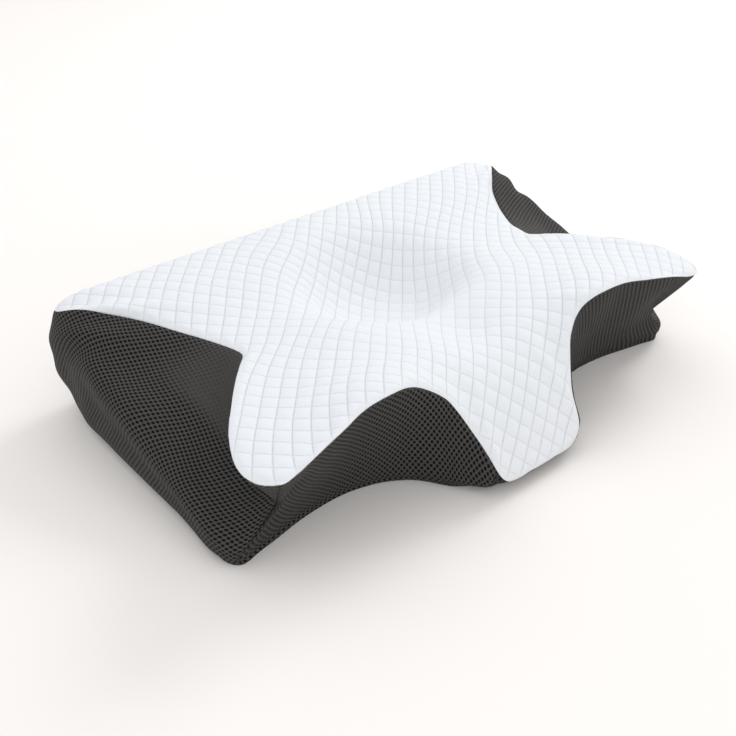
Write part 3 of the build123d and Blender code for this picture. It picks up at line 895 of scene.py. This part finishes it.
def tape_strip(name, side, look):
    """Woven tape that a coil row is sewn to."""
    x = np.linspace(-ZIP_HALF - TAPE_TUCK, ZIP_HALF + TAPE_TUCK, 150)
    z = ZIP_Z + side * np.linspace(0.15, SLOT_HALF - 0.3, 9)
    gx, gz = np.meshgrid(x, z if side > 0 else z[::-1], indexing="ij")
    y = TAPE_Y + 0.75 + 0.04 * np.sin(gx / 9) * np.sin(gz)
    points = np.stack([gx, y, gz], -1).reshape(-1, 3)
    piece = new_object(f"tape_{name}", points, grid_faces(len(x), len(z)), look)
    thicken(piece, 0.6)
    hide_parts(f"zipper_tape_{name}")


def stitches(name, spots, directions, look, length=2.5, radius=0.26):
    """A row of thread stitches, each a short tube that dives at its ends."""
    parts = []
    for spot, way in zip(spots, directions):
        t = np.linspace(-0.5, 0.5, 5)
        dip = (1 - (2 * t) ** 2) * 0.35 - 0.2
        path = spot + np.outer(t * length, way)
        path[:, 1] += dip
        parts.append(tube(path, radius, 5))
    points, faces = joined(parts)
    return new_object(name, points, faces, look)


def zipper():
    """Coil rows, tapes, the stitching beside them, and the metal parts."""
    coil_look, tape_look, metal = nylon(), woven_tape(), zipper_metal()
    thread = fine_knit("thread_look", grey(0.03), grey(0.012), 5000.0, 0.6)
    for name, side in (("upper", 1), ("lower", -1)):
        coil_row(name, side, coil_look)
        tape_strip(name, side, tape_look)
        x = np.arange(-ZIP_HALF + 3, ZIP_HALF - 2, 3.4)
        height = ZIP_Z + side * (SLOT_HALF + 4)
        spots = np.stack([x, np.full_like(x, BACK_Y - 0.1), np.full_like(x, height)], 1)
        stitches(f"stitching_{name}", spots, np.tile([1.0, 0, 0], (len(x), 1)), thread)
    for node in ("zipper_top_stop", "zipper_bottom_stop", "zipper_slider", "zipper_pull"):
        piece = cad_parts[node]
        piece.data.materials.clear()
        piece.data.materials.append(metal)


def care_label():
    """Blank ribbon label, sewn on at its top edge."""
    low, high = (np.array(v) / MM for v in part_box("care_label"))
    x = np.linspace(low[0], high[0], 16)
    z = np.linspace(low[2], high[2], 14)
    gx, gz = np.meshgrid(x, z, indexing="ij")
    hang = (high[2] - gz) / (high[2] - low[2])
    y = BACK_Y + 0.35 + 0.9 * hang**2 + 0.25 * np.sin(gx / 5) * hang
    points = np.stack([gx, y, gz], -1).reshape(-1, 3)
    piece = new_object("label_ribbon", points, grid_faces(16, 14), label_ribbon())
    thicken(piece, 0.25)
    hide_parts("care_label")
    x = np.arange(low[0] + 2, high[0] - 1, 2.6)
    spots = np.stack([x, np.full_like(x, BACK_Y + 0.45), np.full_like(x, high[2] - 1.5)], 1)
    thread = fine_knit("label_thread_look", grey(0.8), grey(0.55), 5000.0, 0.6)
    stitches("label_stitching", spots, np.tile([1.0, 0, 0], (len(x), 1)), thread, 1.9, 0.2)


zipper()
care_label()

# ---- foam and liner ----------------------------------------------------------------------------------
FOAM_INSET = 3.0       # keeps the rounded block clear of the cover at the wings' sharp edges
LINER_OUT = 1.1        # outer side of the sleeve, from the foam
LINER_THICK = 0.8
VOXEL = 0.007          # metres


def foam_and_liner():
    """Smooth foam block from its CAD solid, and the knit sleeve over it."""
    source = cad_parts["foam_core"]
    mesh = source.data.copy()
    mesh.name = "foam_block"
    mesh.materials.clear()
    foam = bpy.data.objects.new("foam_block", mesh)
    bpy.context.scene.collection.objects.link(foam)
    remesh = foam.modifiers.new("even", "REMESH")
    remesh.mode = "VOXEL"
    remesh.voxel_size = VOXEL
    smooth = foam.modifiers.new("soft", "SMOOTH")
    smooth.iterations = 4
    shaped = bpy.data.meshes.new_from_object(foam.evaluated_get(bpy.context.evaluated_depsgraph_get()))
    foam.modifiers.clear()
    foam.data = shaped
    shaped.materials.append(memory_foam())
    shaped.shade_smooth()
    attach(foam, "root")
    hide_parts("foam_core")
    count = len(shaped.vertices)
    place, normal = np.empty(count * 3), np.empty(count * 3)
    shaped.vertices.foreach_get("co", place)
    shaped.vertex_normals.foreach_get("vector", normal)
    place = place - normal * FOAM_INSET * MM
    shaped.vertices.foreach_set("co", place)
    shaped.update()
    sleeve_points = (place + normal * LINER_OUT * MM).reshape(-1, 3) / MM
    faces = [tuple(f.vertices) for f in shaped.polygons]
    sleeve = new_object("liner_sleeve", sleeve_points, faces,
                        fine_knit("liner_look", grey(0.85), grey(0.6), 2600.0))
    thicken(sleeve, LINER_THICK)
    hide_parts("liner_top", "liner_body")


foam_and_liner()

# ---- camera, light and floor, in metres --------------------------------------------------------------
CAMERA_PLACE = Vector((-0.5789, -0.6374, 0.5844))
CAMERA_LOOK = Vector((0.53498, 0.64239, -0.54875))
CAMERA_LENS = 47.94
FLOOR_REACH = 12.0
FLOOR_BELOW = 0.0006
SKY = 0.8
LIGHTS = (             # place, size, power, colour
    ("key", (2.4, 0.5, 1.8), 1.2, 28.0, (1.0, 0.99, 0.98)),
    ("top", (-0.2, 1.2, 2.6), 2.4, 9.0, (0.97, 0.985, 1.0)),
    ("fill", (-1.6, -2.2, 1.6), 2.4, 14.0, (1.0, 0.99, 0.98)),
)


def studio():
    """Pale floor, soft light, and the camera."""
    scene = bpy.context.scene
    camera = bpy.data.objects.new("camera", bpy.data.cameras.new("camera"))
    scene.collection.objects.link(camera)
    camera.location = CAMERA_PLACE
    camera.rotation_mode = "QUATERNION"
    camera.rotation_quaternion = CAMERA_LOOK.to_track_quat("-Z", "Y")
    camera.data.lens = CAMERA_LENS
    camera.data.sensor_width = 36.0
    scene.camera = camera
    floor_mesh = bpy.data.meshes.new("floor")
    corners = [(x * FLOOR_REACH, y * FLOOR_REACH, 0) for x, y in ((-1, -1), (1, -1), (1, 1), (-1, 1))]
    floor_mesh.from_pydata(corners, [], [(0, 1, 2, 3)])
    floor = bpy.data.objects.new("floor", floor_mesh)
    floor.location.z = -FLOOR_BELOW
    look = Nodes("floor_look", Roughness=0.9)
    haze = look.noise(3.0, 2.0)
    floor_mesh.materials.append(look.finish(look.mix(haze, (0.935, 0.915, 0.9, 1), (0.95, 0.93, 0.915, 1))))
    scene.collection.objects.link(floor)
    for name, place, size, power, colour in LIGHTS:
        data = bpy.data.lights.new(name, "AREA")
        data.size = size
        data.energy = power
        data.color = colour
        light = bpy.data.objects.new(name, data)
        light.location = place
        light.rotation_mode = "QUATERNION"
        light.rotation_quaternion = (Vector((0, 0, 0.05)) - Vector(place)).to_track_quat("-Z", "Y")
        scene.collection.objects.link(light)
    world = bpy.data.worlds.new("studio")
    world.use_nodes = True
    world.node_tree.nodes["Background"].inputs["Color"].default_value = (1.0, 0.985, 0.975, 1)
    world.node_tree.nodes["Background"].inputs["Strength"].default_value = SKY
    scene.world = world
    scene.view_settings.view_transform = "Standard"


studio()
